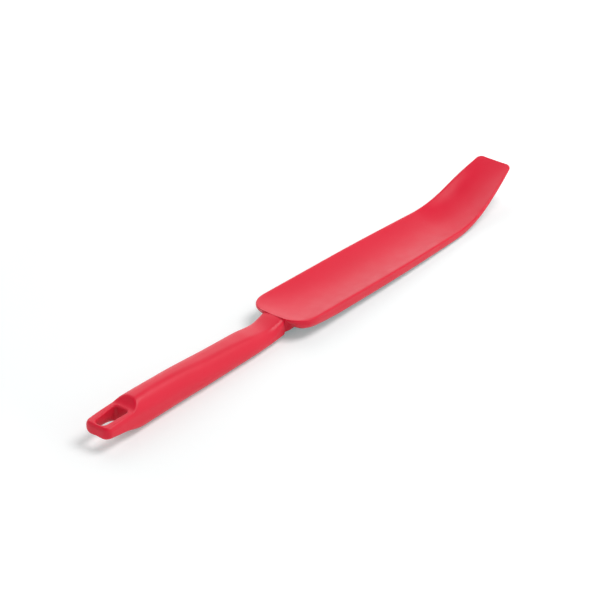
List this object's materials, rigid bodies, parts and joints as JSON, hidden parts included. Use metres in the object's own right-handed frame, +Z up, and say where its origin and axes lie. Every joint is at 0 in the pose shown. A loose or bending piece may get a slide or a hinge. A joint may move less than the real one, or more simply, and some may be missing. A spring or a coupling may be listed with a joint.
{
  "type": "silicone spatula",
  "caption": "Red silicone spatula with a trough-shaped blade, an upturned scraping tip, a hanging slot in the handle and a nylon core inside.",
  "frame": {"origin": "on the worktop under the middle of the spatula's length and width", "axes": "+X along the length from the hang loop to the tip, +Y across the blade, +Z up out of the trough"},
  "size_m": [0.305, 0.0338, 0.0191],
  "materials": {
    "grip_silicone": "satin",
    "blade_silicone": "satin",
    "core_nylon": "matte"
  },
  "bodies": {
    "root": {"handle_grip": "grip_silicone", "blade": "blade_silicone", "nylon_core": "core_nylon"}
  },
  "joints": []
}
